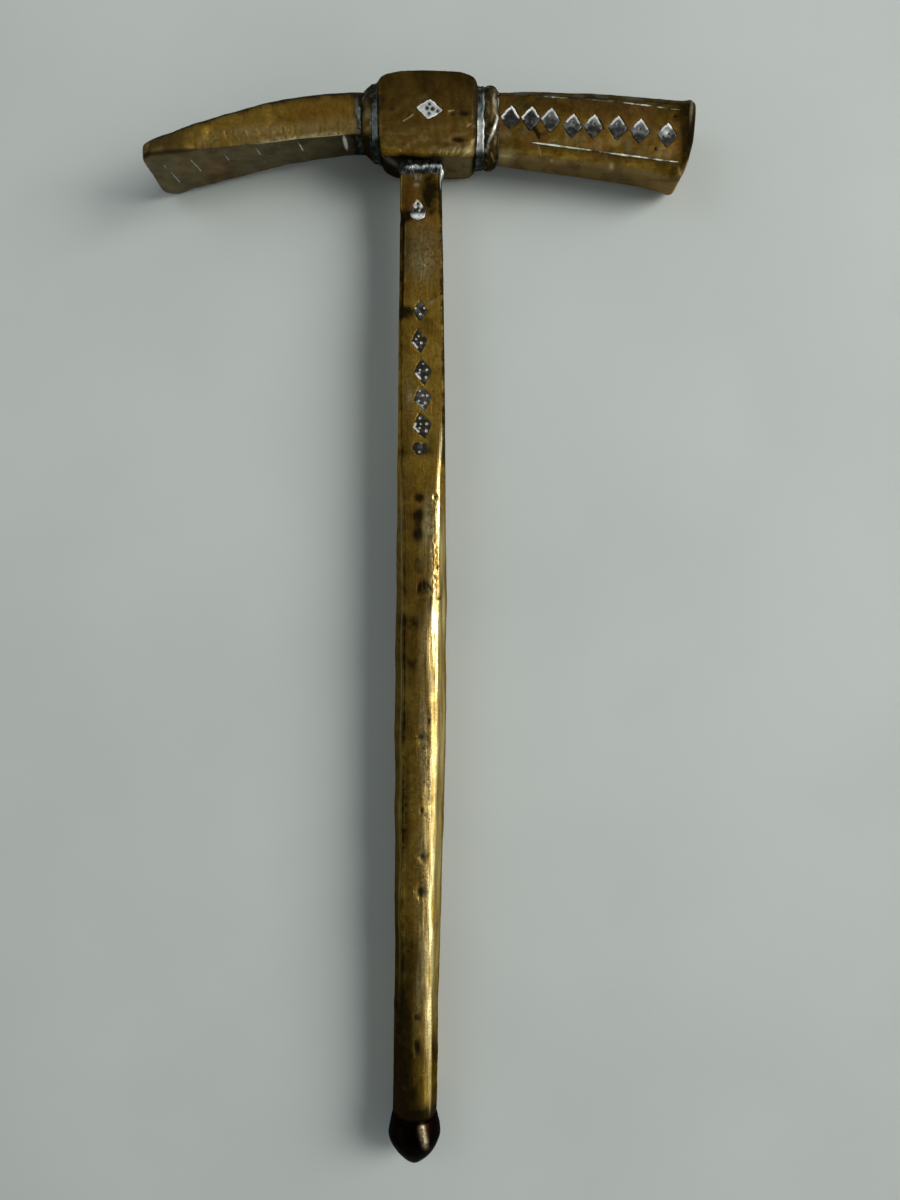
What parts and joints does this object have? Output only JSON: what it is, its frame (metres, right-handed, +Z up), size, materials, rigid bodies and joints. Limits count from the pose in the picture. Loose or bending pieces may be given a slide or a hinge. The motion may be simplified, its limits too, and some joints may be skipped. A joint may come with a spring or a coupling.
{
  "type": "sugar hammer",
  "caption": "Brass sugar hammer with silver inlay: a drooping adze blade and a bevelled poll on an eye block, a long handle and an acorn-shaped pommel.",
  "frame": {"origin": "under the middle of the hammer's box, on the plane that its lowest corner touches, as it lies on its side", "axes": "+X runs along the head from the adze toward the poll, +Y runs up the handle toward the head, +Z points up out of the side that shows the inlay"},
  "size_m": [0.119, 0.2402, 0.0188],
  "materials": {
    "aged_brass": "worn and hand-filed, with dark patina in the hollows",
    "dark_brass": "dark patina, bright where it is rubbed",
    "solder": "dull silver solder, pitted",
    "silver_inlay": "tarnished silver, bright along its edges"
  },
  "bodies": {
    "root": {"eye_block": "aged_brass", "adze_blade": "aged_brass", "hammer_poll": "aged_brass", "handle_bar": "aged_brass", "pommel": "dark_brass", "adze_collar": "dark_brass", "poll_collar": "dark_brass", "adze_block_solder": "solder", "adze_collar_solder": "solder", "poll_block_solder": "solder", "poll_collar_solder": "solder", "handle_solder": "solder", "poll_lozenge_1": "silver_inlay", "poll_lozenge_2": "silver_inlay", "poll_lozenge_3": "silver_inlay", "poll_lozenge_4": "silver_inlay", "poll_lozenge_5": "silver_inlay", "poll_lozenge_6": "silver_inlay", "poll_lozenge_7": "silver_inlay", "poll_lozenge_8": "silver_inlay", "block_lozenge": "silver_inlay", "handle_drop": "silver_inlay", "handle_lozenge_1": "silver_inlay", "handle_lozenge_2": "silver_inlay", "handle_lozenge_3": "silver_inlay", "handle_lozenge_4": "silver_inlay", "handle_lozenge_5": "silver_inlay", "handle_lozenge_6": "silver_inlay", "adze_wire_1": "silver_inlay", "adze_wire_2": "silver_inlay", "adze_wire_3": "silver_inlay", "adze_wire_4": "silver_inlay", "adze_wire_5": "silver_inlay", "poll_wire_top": "silver_inlay", "poll_wire_bottom": "silver_inlay"}
  },
  "joints": []
}
